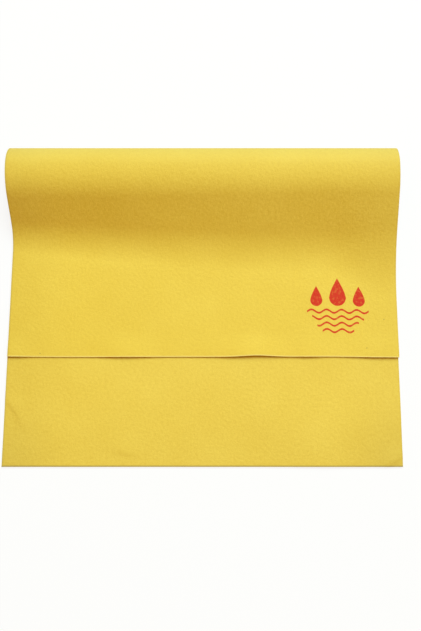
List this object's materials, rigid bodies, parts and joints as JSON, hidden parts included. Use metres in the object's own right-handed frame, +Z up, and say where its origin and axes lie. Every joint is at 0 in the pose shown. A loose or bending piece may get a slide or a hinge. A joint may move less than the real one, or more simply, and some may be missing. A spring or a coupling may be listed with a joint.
{
  "type": "car drying cloth",
  "caption": "Rectangular drying cloth of soft yellow nonwoven, lying folded with its upper layer turned back over a loose roll; it unfolds flat along parallel bend lines.",
  "frame": {"origin": "on the table, under the middle of the folded cloth's footprint", "axes": "+X along the width of the cloth to the right, +Y away from the hems towards the roll, +Z up from the table"},
  "size_m": [0.5, 0.4076, 0.0463],
  "materials": {
    "cloth": "matte, soft napped nonwoven, warm yellow"
  },
  "bodies": {
    "lower_panel": {"lower_panel": "cloth", "heel_bend_1": "cloth"},
    "heel": {"heel_bend_2": "cloth", "heel_bend_3": "cloth"},
    "nape": {"nape_bend_1": "cloth", "nape_bend_2": "cloth"},
    "crown": {"nape_bend_3": "cloth", "crown_back": "cloth"},
    "crown_front": {"crown_front": "cloth"},
    "front_slope": {"front_slope_upper": "cloth", "front_slope_lower": "cloth"},
    "front_settle": {"front_settle": "cloth"},
    "upper_flap": {"upper_flap": "cloth"}
  },
  "joints": [
    {"name": "unfold", "type": "hinge", "parent": "lower_panel", "child": "heel", "pos_m": [0, 0.1927, 0.00341], "axis": [-1, 0, 0], "range_deg": [0, 59.8]},
    {"name": "back_line", "type": "hinge", "parent": "heel", "child": "nape", "pos_m": [0, 0.2032, 0.0216], "axis": [-1, 0, 0], "range_deg": [0, 56.8]},
    {"name": "nape_line", "type": "hinge", "parent": "nape", "child": "crown", "pos_m": [0, 0.192, 0.041], "axis": [-1, 0, 0], "range_deg": [0, 61.6]},
    {"name": "crown_line", "type": "hinge", "parent": "crown", "child": "crown_front", "pos_m": [0, 0.149, 0.04134], "axis": [-1, 0.0005, -0.0024], "range_deg": [0, 33.8]},
    {"name": "slope_line", "type": "hinge", "parent": "crown_front", "child": "front_slope", "pos_m": [0, 0.12589, 0.02971], "axis": [-0.9999, 0.0044, -0.0098], "range_deg": [-10.9, 0]},
    {"name": "settle_line", "type": "hinge", "parent": "front_slope", "child": "front_settle", "pos_m": [0, 0.07126, 0.00635], "axis": [-0.9998, 0.0094, -0.0165], "range_deg": [-10.7, 0]},
    {"name": "flap_line", "type": "hinge", "parent": "front_settle", "child": "upper_flap", "pos_m": [0, 0.03162, 0.00267], "axis": [-1, 0.008, -0.0023], "range_deg": [-9.8, 0]}
  ],
  "couplings": [
    {"joint": "back_line", "follows": "unfold", "ratio": 0.94983},
    {"joint": "nape_line", "follows": "unfold", "ratio": 1.0301},
    {"joint": "crown_line", "follows": "unfold", "ratio": 0.56522},
    {"joint": "slope_line", "follows": "unfold", "ratio": -0.18227},
    {"joint": "settle_line", "follows": "unfold", "ratio": -0.17893},
    {"joint": "flap_line", "follows": "unfold", "ratio": -0.16388}
  ]
}
